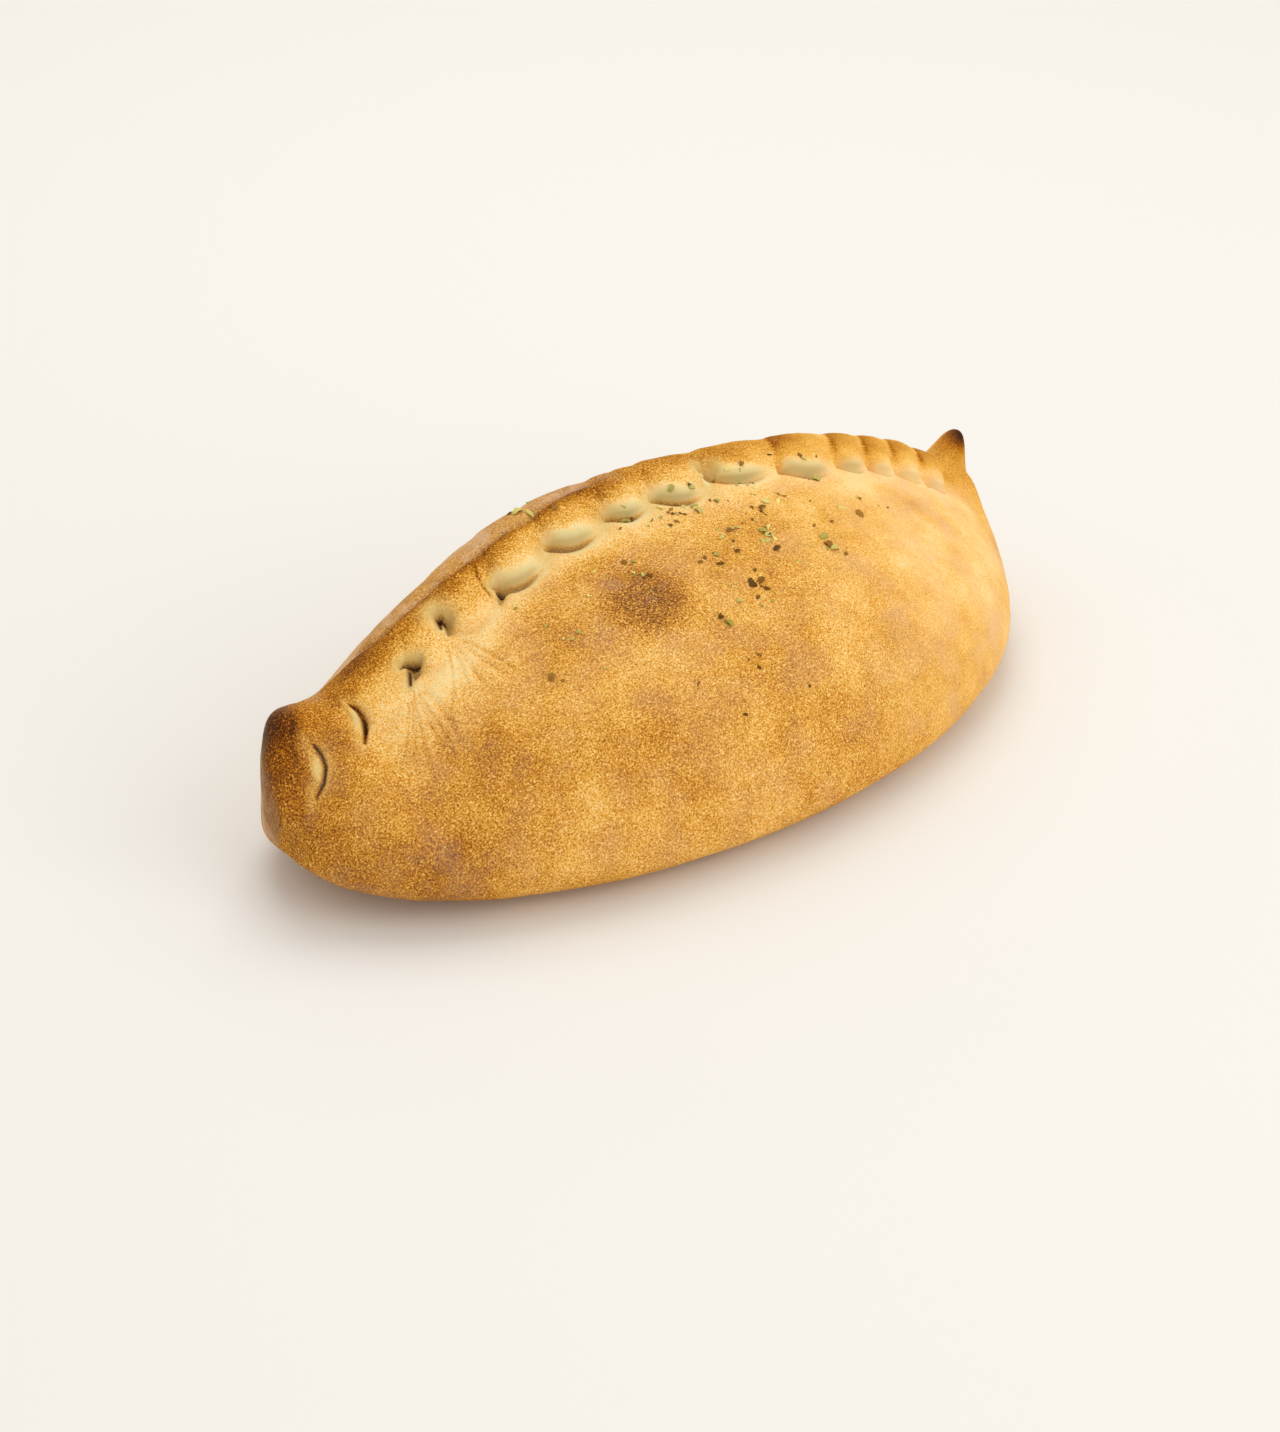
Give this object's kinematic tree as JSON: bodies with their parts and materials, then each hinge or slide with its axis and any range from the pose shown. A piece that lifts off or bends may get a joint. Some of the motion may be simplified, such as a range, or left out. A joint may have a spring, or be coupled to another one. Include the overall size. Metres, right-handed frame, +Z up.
{
  "type": "calzone",
  "caption": "Uncut baked calzone: a domed half-moon of browned dough closed by a crimped seam along its top, sprinkled with dried herbs.",
  "frame": {"origin": "centre of the flat base, under the middle of the bounding box", "axes": "+X along the crimped seam, from the blunt browned tip to the burnt horn; +Y from the belly to the back; +Z up"},
  "size_m": [0.2752, 0.1266, 0.0763],
  "materials": {
    "crust": "baked pizza dough: matte, golden to toasted brown, floury in places, with dried herb flakes"
  },
  "bodies": {
    "root": {"calzone": "crust"}
  },
  "joints": []
}
